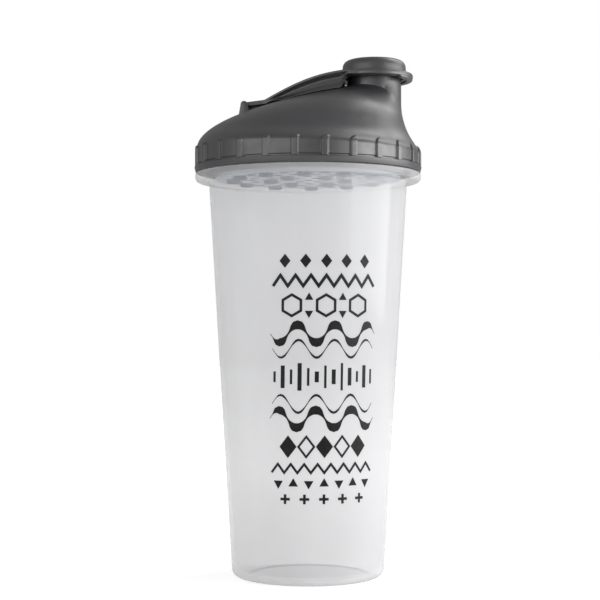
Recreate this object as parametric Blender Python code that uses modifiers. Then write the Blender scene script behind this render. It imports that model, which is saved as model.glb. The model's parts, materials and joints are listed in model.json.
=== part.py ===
"""Protein shaker bottle: tapered cup, screw lid with an off-centre spout, flip cap, strainer and gasket.

Metres, +Z up. The origin is the centre of the base, and the spout points to +X.
Sizes below are in millimetres and are scaled once, where points are made.
"""

import math

import bmesh
import bpy
from mathutils import Matrix, Vector

MM = 0.001

# Driving dimensions of the cup
CUP_BASE_RADIUS = 32.5
CUP_FLARE = 0.0590
CUP_SHOULDER_HEIGHT = 168.7
CUP_WALL = 1.6
CUP_FLOOR = 2.2
BASE_CORNER_RADIUS = 4.0
FOOT_RING_WIDTH = 3.0
FOOT_RECESS_DEPTH = 1.2
COLLAR_HEIGHT = 3.6
COLLAR_EDGE_RADIUS = 2.2
NECK_HEIGHT = 9.0
NECK_WALL = 2.1
NECK_LEDGE = 0.8

# Driving dimensions of the lid
LID_WALL = 2.2
THREAD_ROOM = 1.8
GRIP_RELIEF = 1.0
COLLAR_SETBACK = 0.4
BAND_HEIGHT = 3.0
RIB_COUNT = 25
RIB_WIDTH = 2.6
RIB_TOP = 10.8
RIB_LEAN = 2.5
CEILING_CHAMFER = 1.3
DOME_RISE = 36.8
FLANK_SWELL = 1.5
HOLDER_WALL = 1.7
HOLDER_ROOM = 1.05
HOLDER_CROWN = 3.0

# The lid's dome is a fan of Bezier meridians, from the skirt's shoulder to the crease round the spout.
# Each pair gives a value at the spout's side and at the hinge's side, in millimetres or degrees.
SHOULDER_HEIGHT = (7.4, 9.9)
SHOULDER_HANDLE = (5.0, 9.5)
CREASE_HANDLE = (0.42 * DOME_RISE, 48.0)
CREASE_SLOPE = (90.0, 12.4)
CREASE_DROP = 6.0

# How fast the dome's values change from the spout's side to the hinge's side
DROP_POWER = 3.0
SLOPE_POWER = 1.7
HANDLE_POWER = 2.0

# Driving dimensions of the spout, the hinge and the cap
SPOUT_SETBACK = 7.75
SPOUT_RADIUS = 11.6
SPOUT_WALL = 1.9
SPOUT_DRAFT = 0.5
SPOUT_HEIGHT = 6.8
HINGE_SETBACK = 21.15
HINGE_RISE = 2.9
EAR_THICKNESS = 2.0
EAR_RADIUS = 1.5
EAR_SPREAD = 0.8
EAR_EMBED = 1.8
EAR_SKIN = 0.6
PIN_RADIUS = 0.6
BARREL_RADIUS = 1.5
ARM_THICKNESS = 1.9
ARM_ROOT_HALF_WIDTH = 9.0
ARM_END_SHARE = 0.93
ARM_ROOT_LENGTH = 8.4
ARM_ROOT_SLOPE = 0.12
ARM_SPREAD_POWER = 2.6
ARM_EDGE_CHAMFER = 0.5
ARM_WALL = 1.5
ARM_WALL_DEPTH = 2.9
ARM_WALL_LEAN = 0.35
ARM_WALL_DRAFT = 0.4
ARM_WALL_RUN_IN = 16.0
ARM_WALL_RUN_OUT = 10.0
ARM_WALL_STOP = 9.3
FLANGE_RADIUS = 16.6
FLANGE_THICKNESS = 2.2
FLANGE_EDGE = 0.9
CAP_WALL = 1.4
CAP_HEIGHT = 5.8
CAP_CORNER_RADIUS = 4.6
GROOVE_CORNER_RADIUS = 2.4
CAP_DRAFT = 0.3
CAP_CROWN = 0.2
PLUG_DEPTH = 2.8
PLUG_WALL = 1.4
PLUG_TAPER = 0.7
LIP_WIDTH = 2.8
LIP_DROP = 0.9
LIP_SPREAD = 52.0

# Handles of the arm's arch at the hinge and at the flange, as shares of its run and its rise
ARCH_START = (0.34, 0.50)
ARCH_END = (0.40, 0.13)

# Driving dimensions of the gasket and the strainer
GASKET_THICKNESS = 1.6
STRAINER_THICKNESS = 1.6
STRAINER_RIM_HEIGHT = 4.0
STRAINER_RIM_WALL = 1.4
STRAINER_FLANGE = 1.0
HOLE_RADIUS = 2.0
HOLE_RINGS = 4
HOLES_PER_RING = 6
HOLE_MARGIN = 3.2

# Clearances
FIT_GAP = 0.3
CAP_GAP = 0.7
PLUG_GAP = 0.4

# Facets
ROUND_STEPS = 64
SMALL_STEPS = 10
HOLE_STEPS = 8
DOME_RINGS = 9
INNER_DOME_RINGS = 5
RIB_STEPS = 8
RIB_BANDS = 4
ARM_STATIONS = 10
CORNER_STEPS = 4
SHARP_ANGLE = 32.0

# Sizes worked out from the ones above
BODY_TOP_RADIUS = CUP_BASE_RADIUS + CUP_FLARE * CUP_SHOULDER_HEIGHT
NECK_INNER = BODY_TOP_RADIUS - CUP_WALL + NECK_LEDGE
NECK_OUTER = NECK_INNER + NECK_WALL
COLLAR_TOP = CUP_SHOULDER_HEIGHT + COLLAR_HEIGHT
NECK_TOP = COLLAR_TOP + NECK_HEIGHT

SKIRT_BOTTOM = COLLAR_TOP + FIT_GAP
SKIRT_INNER = NECK_OUTER + THREAD_ROOM
SKIRT_OUTER = SKIRT_INNER + LID_WALL
GRIP_RADIUS = SKIRT_OUTER + GRIP_RELIEF
COLLAR_RADIUS = GRIP_RADIUS - COLLAR_SETBACK
GASKET_BOTTOM = NECK_TOP + FIT_GAP
CEILING = GASKET_BOTTOM + GASKET_THICKNESS + FIT_GAP
HOLDER_OUTER = NECK_INNER - HOLDER_ROOM
HOLDER_RADIUS = HOLDER_OUTER - HOLDER_WALL

CREASE_HEIGHT = SKIRT_BOTTOM + DOME_RISE
SPOUT_OFFSET = SKIRT_OUTER - SPOUT_SETBACK - SPOUT_RADIUS
SPOUT_TOP = CREASE_HEIGHT + SPOUT_HEIGHT
BORE_RADIUS = SPOUT_RADIUS - SPOUT_WALL

STRAINER_RIM_OUTER = HOLDER_RADIUS - FIT_GAP
STRAINER_RADIUS = STRAINER_RIM_OUTER + STRAINER_FLANGE
HOLDER_BOTTOM = COLLAR_TOP - 2 * FIT_GAP
STRAINER_TOP = HOLDER_BOTTOM - FIT_GAP
STRAINER_BOTTOM = STRAINER_TOP - STRAINER_THICKNESS

CAP_INNER = SPOUT_RADIUS + CAP_GAP
CAP_OUTER = CAP_INNER + CAP_WALL
FLANGE_BOTTOM = SPOUT_TOP - PLUG_DEPTH - CAP_GAP
FLANGE_TOP = FLANGE_BOTTOM + FLANGE_THICKNESS
CAP_TOP = FLANGE_TOP + CAP_HEIGHT


def clear_scene():
    """Remove every object that the scene starts with."""
    for item in list(bpy.data.objects):
        bpy.data.objects.remove(item, do_unlink=True)


def make_collection(name):
    """Add a collection to the scene."""
    group = bpy.data.collections.new(name)
    bpy.context.scene.collection.children.link(group)
    return group


def make_material(name, colour, roughness, alpha=1.0):
    """Make a plain Principled material for one sub-part."""
    material = bpy.data.materials.new(name)
    material.use_nodes = True
    shader = material.node_tree.nodes["Principled BSDF"]
    shader.inputs["Base Color"].default_value = (*colour, 1.0)
    shader.inputs["Roughness"].default_value = roughness
    shader.inputs["Metallic"].default_value = 0.0
    shader.inputs["Alpha"].default_value = alpha
    material.diffuse_color = (*colour, alpha)
    return material


def bezier(points, t):
    """Point at t on a cubic Bezier curve."""
    s = 1.0 - t
    weights = (s * s * s, 3 * s * s * t, 3 * s * t * t, t * t * t)
    total = Vector((0.0,) * len(points[0]))
    for weight, point in zip(weights, points):
        total += weight * Vector(point)
    return total


def arc(centre, radius, start, end, steps=CORNER_STEPS):
    """Points of a round corner in the (radius, height) plane, angles in degrees."""
    corner = []
    for step in range(steps + 1):
        angle = math.radians(start + (end - start) * step / steps)
        corner.append((centre[0] + radius * math.cos(angle), centre[1] + radius * math.sin(angle)))
    return corner


def new_object(name, mesh, group, material=None):
    """Put a mesh in a collection as a named object, shaded smooth up to sharp edges."""
    item = bpy.data.objects.new(name, mesh)
    group.objects.link(item)
    mesh.shade_smooth()
    mesh.set_sharp_from_angle(angle=math.radians(SHARP_ANGLE))
    if material:
        mesh.materials.append(material)
    return item


def turned(name, profile, group, closed=False, material=None):
    """Turn an outline of (radius, height) points about Z. Its outer side runs from top to bottom."""
    count = len(profile)
    edges = [(i, i + 1) for i in range(count - 1)]
    if closed:
        edges.append((count - 1, 0))
    mesh = bpy.data.meshes.new(name)
    mesh.from_pydata([(r * MM, 0.0, z * MM) for r, z in profile], edges, [])
    item = new_object(name, mesh, group, material)
    screw = item.modifiers.new("turn", "SCREW")
    screw.axis = "Z"
    screw.steps = ROUND_STEPS
    screw.render_steps = ROUND_STEPS
    screw.use_merge_vertices = True
    screw.merge_threshold = 0.00001
    screw.use_smooth_shade = True
    return item


def lofted(name, rings, group, closed, material=None):
    """Skin between rings of points, either back round to the first ring or with flat ends."""
    maker = bmesh.new()
    rows = [[maker.verts.new(Vector(point) * MM) for point in ring] for ring in rings]
    pairs = list(zip(rows, rows[1:]))
    if closed:
        pairs.append((rows[-1], rows[0]))
    for row, other in pairs:
        for i in range(len(row)):
            j = (i + 1) % len(row)
            maker.faces.new((row[i], row[j], other[j], other[i]))
    if not closed:
        maker.faces.new(rows[0])
        maker.faces.new(rows[-1])
    bmesh.ops.recalc_face_normals(maker, faces=maker.faces)
    mesh = bpy.data.meshes.new(name)
    maker.to_mesh(mesh)
    maker.free()
    return new_object(name, mesh, group, material)


def rods(name, placements, group, steps=SMALL_STEPS):
    """Round rods in one object, from (radius, length, matrix in millimetres) placements."""
    maker = bmesh.new()
    for radius, length, matrix in placements:
        bmesh.ops.create_cone(
            maker,
            cap_ends=True,
            segments=steps,
            radius1=radius,
            radius2=radius,
            depth=length,
            matrix=matrix,
        )
    bmesh.ops.scale(maker, vec=(MM, MM, MM), verts=maker.verts)
    mesh = bpy.data.meshes.new(name)
    maker.to_mesh(mesh)
    maker.free()
    return new_object(name, mesh, group)


def block(name, low, high, group):
    """A box between two corners."""
    maker = bmesh.new()
    size = [b - a for a, b in zip(low, high)]
    middle = [(a + b) / 2 for a, b in zip(low, high)]
    bmesh.ops.create_cube(maker, size=1.0, matrix=Matrix.Translation(middle) @ Matrix.Diagonal((*size, 1.0)))
    bmesh.ops.scale(maker, vec=(MM, MM, MM), verts=maker.verts)
    mesh = bpy.data.meshes.new(name)
    maker.to_mesh(mesh)
    maker.free()
    return new_object(name, mesh, group)


def combine(item, tool, operation):
    """Add a Boolean with a tool object, which is kept out of the finished part."""
    tool.hide_render = True
    tool.display_type = "WIRE"
    modifier = item.modifiers.new(tool.name, "BOOLEAN")
    modifier.operation = operation
    modifier.solver = "EXACT"
    modifier.object = tool


def across(x, z, y=0.0):
    """Placement of a rod that lies along Y."""
    return Matrix.Translation((x, y, z)) @ Matrix.Rotation(math.pi / 2, 4, "X")


def wall_radius(height):
    """Outer radius of the cup's tapered wall."""
    return CUP_BASE_RADIUS + CUP_FLARE * height


def make_cup(group, material):
    """Tapered tumbler with a recessed base, a collar and a plain neck."""
    foot = CUP_BASE_RADIUS - BASE_CORNER_RADIUS
    recess = foot - FOOT_RING_WIDTH
    floor = FOOT_RECESS_DEPTH + CUP_FLOOR
    inner_corner = BASE_CORNER_RADIUS - CUP_WALL / 2
    inside_foot = wall_radius(floor) - CUP_WALL
    collar_edge = COLLAR_RADIUS - COLLAR_EDGE_RADIUS
    profile = [(0.0, floor)]
    profile += arc((inside_foot - inner_corner, floor + inner_corner), inner_corner, -90, 0)
    profile.append((BODY_TOP_RADIUS - CUP_WALL, CUP_SHOULDER_HEIGHT))
    profile.append((NECK_INNER, COLLAR_TOP))
    profile.append((NECK_INNER, NECK_TOP))
    profile.append((NECK_OUTER, NECK_TOP))
    profile.append((NECK_OUTER, COLLAR_TOP))
    profile.append((COLLAR_RADIUS, COLLAR_TOP))
    profile += arc((collar_edge, CUP_SHOULDER_HEIGHT + COLLAR_EDGE_RADIUS), COLLAR_EDGE_RADIUS, 0, -90)
    profile.append((BODY_TOP_RADIUS, CUP_SHOULDER_HEIGHT))
    profile += arc((foot, BASE_CORNER_RADIUS), BASE_CORNER_RADIUS, 0, -90)
    profile.append((recess, 0.0))
    profile.append((recess - FOOT_RECESS_DEPTH, FOOT_RECESS_DEPTH))
    profile.append((0.0, FOOT_RECESS_DEPTH))
    return turned("cup", profile, group, material=material)


def share(angle, power=1.0):
    """Weight of the spout's side at an angle about the axis: 1 towards the spout, 0 towards the hinge."""
    return ((1.0 + math.cos(angle)) / 2) ** power


def mix(pair, weight):
    """Value between the hinge's side and the spout's side."""
    return pair[0] * weight + pair[1] * (1.0 - weight)


def crease_point(angle, radius, lower=0.0):
    """Point where the dome meets the spout's wall, or its bore."""
    height = CREASE_HEIGHT - CREASE_DROP * share(angle, DROP_POWER) - lower
    return Vector((SPOUT_OFFSET + radius * math.cos(angle), radius * math.sin(angle), height))


def meridian(angle, start, handle, end, lowest):
    """Control points of one meridian, upright at the shoulder and leaning in at the crease."""
    slope = math.radians(mix(CREASE_SLOPE, share(angle, SLOPE_POWER)))
    reach = mix(CREASE_HANDLE, 1.0 - (1.0 - share(angle)) ** HANDLE_POWER)
    reach = min(reach, (end.z - lowest) / math.sin(slope))
    inward = Vector((-math.cos(angle), -math.sin(angle), 0.0))
    lean = inward * math.cos(slope) + Vector((0.0, 0.0, math.sin(slope)))
    return (start, start + Vector((0.0, 0.0, handle)), end - lean * reach, end)


def outer_meridian(angle):
    """Meridian of the dome's outer face."""
    weight = share(angle)
    height = SKIRT_BOTTOM + mix(SHOULDER_HEIGHT, weight)
    start = Vector((SKIRT_OUTER * math.cos(angle), SKIRT_OUTER * math.sin(angle), height))
    end = crease_point(angle, SPOUT_RADIUS)
    return meridian(angle, start, mix(SHOULDER_HANDLE, weight), end, CEILING + LID_WALL)


def inner_meridian(angle):
    """Meridian of the dome's inner face, which springs from the strainer's holder."""
    height = CEILING + HOLDER_CROWN
    start = Vector((HOLDER_RADIUS * math.cos(angle), HOLDER_RADIUS * math.sin(angle), height))
    handle = mix(SHOULDER_HANDLE, share(angle)) / 2
    return meridian(angle, start, handle, crease_point(angle, BORE_RADIUS, LID_WALL), CEILING)


def ridge_height(x):
    """Height of the dome's ridge, on the hinge's side, at a distance x from the cup's axis."""
    points = outer_meridian(math.pi)
    low, high = 0.0, 1.0
    while high - low > 1e-6:
        middle = (low + high) / 2
        if bezier(points, middle).x < x:
            low = middle
        else:
            high = middle
    return bezier(points, low).z


HINGE_X = HINGE_SETBACK - SKIRT_OUTER
HINGE_Z = ridge_height(HINGE_X) + HINGE_RISE
EAR_INSIDE = ARM_ROOT_HALF_WIDTH + FIT_GAP
EAR_OUTSIDE = EAR_INSIDE + EAR_THICKNESS


def circle(radius, height):
    """Ring of points about the cup's axis."""
    ring = []
    for step in range(ROUND_STEPS):
        angle = 2 * math.pi * step / ROUND_STEPS
        ring.append((radius * math.cos(angle), radius * math.sin(angle), height))
    return ring


def spout_circle(radius, height):
    """Ring of points about the spout's axis."""
    return [(x + SPOUT_OFFSET, y, z) for x, y, z in circle(radius, height)]


def dome_rings(side, count):
    """Rings of the dome from the shoulder up to the crease, waisted below and full above on its flanks."""
    rings = []
    for row in range(count + 1):
        t = row / count
        ring = []
        for step in range(ROUND_STEPS):
            angle = 2 * math.pi * step / ROUND_STEPS
            outward = Vector((math.cos(angle), math.sin(angle), 0.0))
            swell = -FLANK_SWELL * math.sin(2 * math.pi * t) * math.sin(angle) ** 2
            ring.append(bezier(side(angle), t) + outward * swell)
        rings.append(ring)
    return rings


def make_lid_shell(group, material):
    """Skirt, dome, spout and strainer holder, lofted ring by ring round the wall and back."""
    rings = [circle(GRIP_RADIUS, SKIRT_BOTTOM)]
    rings.append(circle(GRIP_RADIUS, SKIRT_BOTTOM + BAND_HEIGHT - GRIP_RELIEF / 2))
    rings.append(circle(SKIRT_OUTER, SKIRT_BOTTOM + BAND_HEIGHT))
    rings += dome_rings(outer_meridian, DOME_RINGS)
    rings.append(spout_circle(SPOUT_RADIUS, CREASE_HEIGHT + FIT_GAP))
    rings.append(spout_circle(SPOUT_RADIUS - SPOUT_DRAFT, SPOUT_TOP))
    rings.append(spout_circle(BORE_RADIUS, SPOUT_TOP))
    rings += reversed(dome_rings(inner_meridian, INNER_DOME_RINGS))
    rings.append(circle(HOLDER_RADIUS, HOLDER_BOTTOM))
    rings.append(circle(HOLDER_OUTER, HOLDER_BOTTOM))
    rings.append(circle(HOLDER_OUTER, CEILING))
    rings.append(circle(SKIRT_INNER - CEILING_CHAMFER, CEILING))
    rings.append(circle(SKIRT_INNER, CEILING - GASKET_THICKNESS - 2 * CEILING_CHAMFER))
    rings.append(circle(SKIRT_INNER, SKIRT_BOTTOM))
    return lofted("lid", rings, group, closed=True, material=material)


def make_ribs(group):
    """Upright grip ribs with round tops, in a ring about the skirt."""
    radius = RIB_WIDTH / 2
    centre = GRIP_RADIUS - radius - FIT_GAP / 2
    low = SKIRT_BOTTOM + BAND_HEIGHT / 2
    length = RIB_TOP - radius - BAND_HEIGHT / 2
    upright = Matrix.Translation((centre, 0.0, low)) @ Matrix.Rotation(math.radians(-RIB_LEAN), 4, "Y")
    maker = bmesh.new()
    for step in range(RIB_COUNT):
        turn = Matrix.Rotation(math.pi + 2 * math.pi * step / RIB_COUNT, 4, "Z")
        made = bmesh.ops.create_uvsphere(maker, u_segments=RIB_STEPS, v_segments=RIB_BANDS, radius=radius)
        rib = made["verts"]
        for vert in rib:
            if vert.co.z > -radius / ROUND_STEPS:
                vert.co.z += length
        bmesh.ops.transform(maker, matrix=turn @ upright, verts=rib)
    bmesh.ops.scale(maker, vec=(MM, MM, MM), verts=maker.verts)
    mesh = bpy.data.meshes.new("grip_ribs")
    maker.to_mesh(mesh)
    maker.free()
    return new_object("grip_ribs", mesh, group)


def make_ear(side, group):
    """Upright ear with a round top, square to the hinge's axis."""
    foot = HINGE_Z - HINGE_RISE - EAR_EMBED
    outline = [(HINGE_X + EAR_RADIUS + EAR_SPREAD, foot)]
    outline += arc((HINGE_X, HINGE_Z), EAR_RADIUS, 0, 180, 2 * CORNER_STEPS)
    outline.append((HINGE_X - EAR_RADIUS - EAR_SPREAD, foot))
    rings = [[(x, side * y, z) for x, z in outline] for y in (EAR_INSIDE, EAR_OUTSIDE)]
    return lofted("hinge_ear", rings, group, closed=False)


def make_lid(group, tools, material):
    """Screw lid in one moulding: shell, grip ribs and hinge ears with blind sockets."""
    lid = make_lid_shell(group, material)
    combine(lid, make_ribs(tools), "UNION")
    for side in (-1.0, 1.0):
        combine(lid, make_ear(side, tools), "UNION")
    span = 2 * (EAR_OUTSIDE - EAR_SKIN)
    hole = rods("hinge_sockets", [(PIN_RADIUS + FIT_GAP, span, across(HINGE_X, HINGE_Z))], tools)
    combine(lid, hole, "DIFFERENCE")
    return lid


def make_gasket(group, material):
    """Flat ring in the lid's ceiling, over the cup's rim."""
    inner = HOLDER_OUTER + FIT_GAP
    outer = NECK_OUTER
    top = GASKET_BOTTOM + GASKET_THICKNESS
    profile = [(inner, GASKET_BOTTOM), (inner, top), (outer, top), (outer, GASKET_BOTTOM)]
    return turned("lid_gasket", profile, group, closed=True, material=material)


def make_strainer(group, tools, material):
    """Perforated disc with an upstanding rim that pushes into the lid's holder."""
    rim_inner = STRAINER_RIM_OUTER - STRAINER_RIM_WALL
    rim_top = STRAINER_TOP + STRAINER_RIM_HEIGHT
    profile = [
        (0.0, STRAINER_TOP),
        (rim_inner, STRAINER_TOP),
        (rim_inner, rim_top),
        (STRAINER_RIM_OUTER, rim_top),
        (STRAINER_RIM_OUTER, STRAINER_TOP),
        (STRAINER_RADIUS, STRAINER_TOP),
        (STRAINER_RADIUS, STRAINER_BOTTOM),
        (0.0, STRAINER_BOTTOM),
    ]
    strainer = turned("strainer", profile, group, material=material)
    middle = (STRAINER_TOP + STRAINER_BOTTOM) / 2
    pitch = (rim_inner - HOLE_MARGIN - HOLE_RADIUS) / HOLE_RINGS
    holes = [(HOLE_RADIUS, 2 * STRAINER_THICKNESS, Matrix.Translation((0.0, 0.0, middle)))]
    for ring in range(1, HOLE_RINGS + 1):
        for step in range(HOLES_PER_RING * ring):
            angle = 2 * math.pi * step / (HOLES_PER_RING * ring)
            place = (pitch * ring * math.cos(angle), pitch * ring * math.sin(angle), middle)
            holes.append((HOLE_RADIUS, 2 * STRAINER_THICKNESS, Matrix.Translation(place)))
    combine(strainer, rods("strainer_holes", holes, tools, HOLE_STEPS), "DIFFERENCE")
    return strainer


def arm_top_line():
    """Points (x, z) along the arm's top: a short straight root, then an arch up to the flange."""
    root = Vector((HINGE_X, HINGE_Z + BARREL_RADIUS - FIT_GAP))
    bend = root + Vector((ARM_ROOT_LENGTH, ARM_ROOT_LENGTH * ARM_ROOT_SLOPE))
    level = FLANGE_TOP - FIT_GAP / 2
    land = Vector((SPOUT_OFFSET - CAP_INNER, level))
    span = land - bend
    arch = (
        bend,
        bend + Vector((span.x * ARCH_START[0], span.y * ARCH_START[1])),
        land - Vector((span.x * ARCH_END[0], span.y * ARCH_END[1])),
        land,
    )
    points = [root, bend]
    points += [bezier(arch, step / ARM_STATIONS) for step in range(1, ARM_STATIONS + 1)]
    points.append(Vector((SPOUT_OFFSET - CAP_GAP, level)))
    return points


def arm_half_width(x):
    """Half of the arm's width, from the hinge barrel out to the flange."""
    start = HINGE_X + ARM_ROOT_LENGTH
    along = max(0.0, (x - start) / (SPOUT_OFFSET - start))
    widest = FLANGE_RADIUS * ARM_END_SHARE
    return widest - (widest - ARM_ROOT_HALF_WIDTH) * (1.0 - along) ** ARM_SPREAD_POWER


def ease(part):
    """Smooth rise from 0 to 1."""
    part = min(1.0, max(0.0, part))
    return part * part * (3.0 - 2.0 * part)


def arm_wall_depth(x):
    """How far the arm's side walls hang below its plate: nothing at the root and at the spout."""
    run_in = ease((x - HINGE_X - ARM_ROOT_LENGTH) / ARM_WALL_RUN_IN)
    run_out = ease((SPOUT_OFFSET - ARM_WALL_STOP - x) / ARM_WALL_RUN_OUT)
    return ARM_WALL_DEPTH * run_in * run_out


def make_arm(group, material):
    """Paddle-shaped channel lofted along its top line, with its origin on the hinge's axis."""
    line = arm_top_line()
    chamfer = ARM_EDGE_CHAMFER
    rings = []
    for i, top in enumerate(line):
        along = line[min(i + 1, len(line) - 1)] - line[max(i - 1, 0)]
        along.normalize()
        down = Vector((along.y, -along.x))
        wide = arm_half_width(top.x)
        hang = arm_wall_depth(top.x)
        foot = wide - hang * ARM_WALL_LEAN
        section = [
            (wide - chamfer, 0.0),
            (wide, chamfer),
            (foot, ARM_THICKNESS + hang - chamfer),
            (foot - chamfer, ARM_THICKNESS + hang),
            (foot - ARM_WALL, ARM_THICKNESS + hang),
            (foot - ARM_WALL - ARM_WALL_DRAFT, ARM_THICKNESS),
        ]
        section += [(-y, depth) for y, depth in reversed(section)]
        ring = []
        for y, depth in section:
            place = top + down * depth
            ring.append((place.x - HINGE_X, y, place.y - HINGE_Z))
        rings.append(ring)
    arm = lofted("spout_cap", rings, group, closed=False, material=material)
    arm.location = (HINGE_X * MM, 0.0, HINGE_Z * MM)
    return arm


def make_cap_shell(tools):
    """Hollow cap with its flange and the plug that closes the bore."""
    ceiling = CAP_TOP - CAP_WALL
    shoulder = CAP_OUTER - CAP_DRAFT - CAP_CORNER_RADIUS
    plug = BORE_RADIUS - PLUG_GAP
    plug_tip = SPOUT_TOP - PLUG_DEPTH
    groove_corner = CAP_INNER - CAP_DRAFT - GROOVE_CORNER_RADIUS
    profile = [(0.0, CAP_TOP + CAP_CROWN)]
    profile += arc((shoulder, CAP_TOP - CAP_CORNER_RADIUS), CAP_CORNER_RADIUS, 90, 0)
    profile.append((CAP_OUTER, FLANGE_TOP))
    profile.append((FLANGE_RADIUS - FLANGE_EDGE, FLANGE_TOP))
    profile.append((FLANGE_RADIUS, FLANGE_TOP - FLANGE_EDGE))
    profile.append((FLANGE_RADIUS, FLANGE_BOTTOM))
    profile.append((CAP_INNER, FLANGE_BOTTOM))
    profile += arc((groove_corner, ceiling - GROOVE_CORNER_RADIUS), GROOVE_CORNER_RADIUS, 0, 90)
    profile.append((plug, ceiling))
    profile.append((plug, SPOUT_TOP))
    profile.append((plug - PLUG_TAPER, plug_tip))
    profile.append((plug - PLUG_TAPER - PLUG_WALL, plug_tip))
    profile.append((plug - PLUG_TAPER - PLUG_WALL, ceiling))
    profile.append((0.0, ceiling + CAP_CROWN))
    shell = turned("cap_shell", profile, tools)
    shell.location.x = SPOUT_OFFSET * MM
    return shell


def make_lip(tools):
    """Thumb lip: the front of a ring under the flange's edge."""
    inner = FLANGE_RADIUS - LIP_WIDTH
    outer = FLANGE_RADIUS - FIT_GAP / 2
    low = FLANGE_BOTTOM - LIP_DROP
    high = FLANGE_BOTTOM + FLANGE_THICKNESS / 2
    lip = turned("thumb_lip", [(inner, low), (inner, high), (outer, high), (outer, low)], tools, closed=True)
    lip.location.x = SPOUT_OFFSET * MM
    lip.rotation_euler.z = math.pi / ROUND_STEPS
    reach = FLANGE_RADIUS * math.cos(math.radians(LIP_SPREAD))
    front = (SPOUT_OFFSET + reach, -FLANGE_RADIUS, low - LIP_DROP)
    back = (SPOUT_OFFSET + FLANGE_RADIUS + LIP_WIDTH, FLANGE_RADIUS, high + LIP_DROP)
    combine(lip, block("lip_front", front, back, tools), "INTERSECT")
    return lip


def make_spout_cap(group, tools, material):
    """Flip cap in one moulding: arm, hinge barrel with trunnions, cap, flange, plug and thumb lip."""
    cap = make_arm(group, material)
    core_radius = (CAP_INNER + CAP_OUTER) / 2
    core = turned("cap_core", [(0.0, CAP_TOP), (core_radius, CAP_TOP), (core_radius, 0.0), (0.0, 0.0)], tools)
    core.location.x = SPOUT_OFFSET * MM
    combine(cap, core, "DIFFERENCE")
    combine(cap, make_cap_shell(tools), "UNION")
    combine(cap, make_lip(tools), "UNION")
    barrel = (BARREL_RADIUS, 2 * ARM_ROOT_HALF_WIDTH - FIT_GAP, across(HINGE_X, HINGE_Z))
    combine(cap, rods("hinge_barrel", [barrel], tools), "UNION")
    trunnions = (PIN_RADIUS, 2 * (EAR_OUTSIDE - EAR_SKIN - FIT_GAP), across(HINGE_X, HINGE_Z))
    combine(cap, rods("hinge_trunnions", [trunnions], tools), "UNION")
    return cap


def build():
    """Model every sub-part and hang the lid's pieces from the lid."""
    clear_scene()
    group = make_collection("protein_shaker")
    tools = make_collection("protein_shaker_cutters")
    frosted = make_material("frosted_polypropylene", (0.80, 0.81, 0.82), 0.35, alpha=0.55)
    dark = make_material("dark_grey_polypropylene", (0.115, 0.117, 0.122), 0.42)
    dark_cap = make_material("dark_grey_cap", (0.110, 0.112, 0.118), 0.42)
    soft = make_material("seal_silicone", (0.72, 0.73, 0.74), 0.6)
    grid = make_material("strainer_polypropylene", (0.36, 0.42, 0.50), 0.45)
    make_cup(group, frosted)
    lid = make_lid(group, tools, dark)
    gasket = make_gasket(group, soft)
    strainer = make_strainer(group, tools, grid)
    cap = make_spout_cap(group, tools, dark_cap)
    for piece in (gasket, strainer, cap):
        piece.parent = lid


build()
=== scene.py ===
import json
import math
from functools import partial

import bmesh
import bpy
from mathutils import Matrix, Vector
from mathutils.geometry import delaunay_2d_cdt
from mathutils.kdtree import KDTree


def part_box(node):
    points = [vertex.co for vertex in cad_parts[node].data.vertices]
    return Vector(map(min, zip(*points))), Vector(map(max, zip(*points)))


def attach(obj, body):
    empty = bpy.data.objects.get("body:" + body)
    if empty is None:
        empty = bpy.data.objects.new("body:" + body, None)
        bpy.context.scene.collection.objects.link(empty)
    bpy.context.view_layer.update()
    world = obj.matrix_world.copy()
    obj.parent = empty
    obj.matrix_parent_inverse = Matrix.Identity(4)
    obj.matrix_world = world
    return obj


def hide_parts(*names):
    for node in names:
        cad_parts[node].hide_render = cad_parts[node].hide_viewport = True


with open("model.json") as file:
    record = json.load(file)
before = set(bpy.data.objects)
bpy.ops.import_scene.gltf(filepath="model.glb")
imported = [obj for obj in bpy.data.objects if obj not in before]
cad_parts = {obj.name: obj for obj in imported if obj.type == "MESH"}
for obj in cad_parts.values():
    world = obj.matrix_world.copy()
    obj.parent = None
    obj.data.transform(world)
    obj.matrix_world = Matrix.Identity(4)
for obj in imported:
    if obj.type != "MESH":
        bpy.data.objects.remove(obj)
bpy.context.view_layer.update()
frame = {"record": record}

# Looks of the shaker bottle: fine meshes and finishes that stand for the frame's solids.
# Sizes are in millimetres, +Z is up and the spout points to +X.
# Points are scaled to metres once, in finished().
MM = 0.001


def box_mm(node):
    """Lowest and highest corner of one of the frame's solids, in millimetres."""
    low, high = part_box(node)
    return Vector(low) / MM, Vector(high) / MM


def joint_place(name):
    """Point on a joint's axis, in millimetres."""
    for joint in frame["record"]["behaviour"]["joints"]:
        if joint["name"] == name:
            return Vector(joint["pos_m"]) / MM


# Places read from the frame
CUP_HIGH = box_mm("cup")[1]
LID_LOW, LID_HIGH = box_mm("lid")
GASKET_LOW, GASKET_HIGH = box_mm("lid_gasket")
STRAINER_LOW, STRAINER_HIGH = box_mm("strainer")
HINGE = joint_place("cap_flip")

# Sizes shared by several pieces
FIT_GAP = 0.3
LEAD = 6.0
COLUMNS = 192
CORNER_STEPS = 6
SHARP_ANGLE = 38.0

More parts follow.
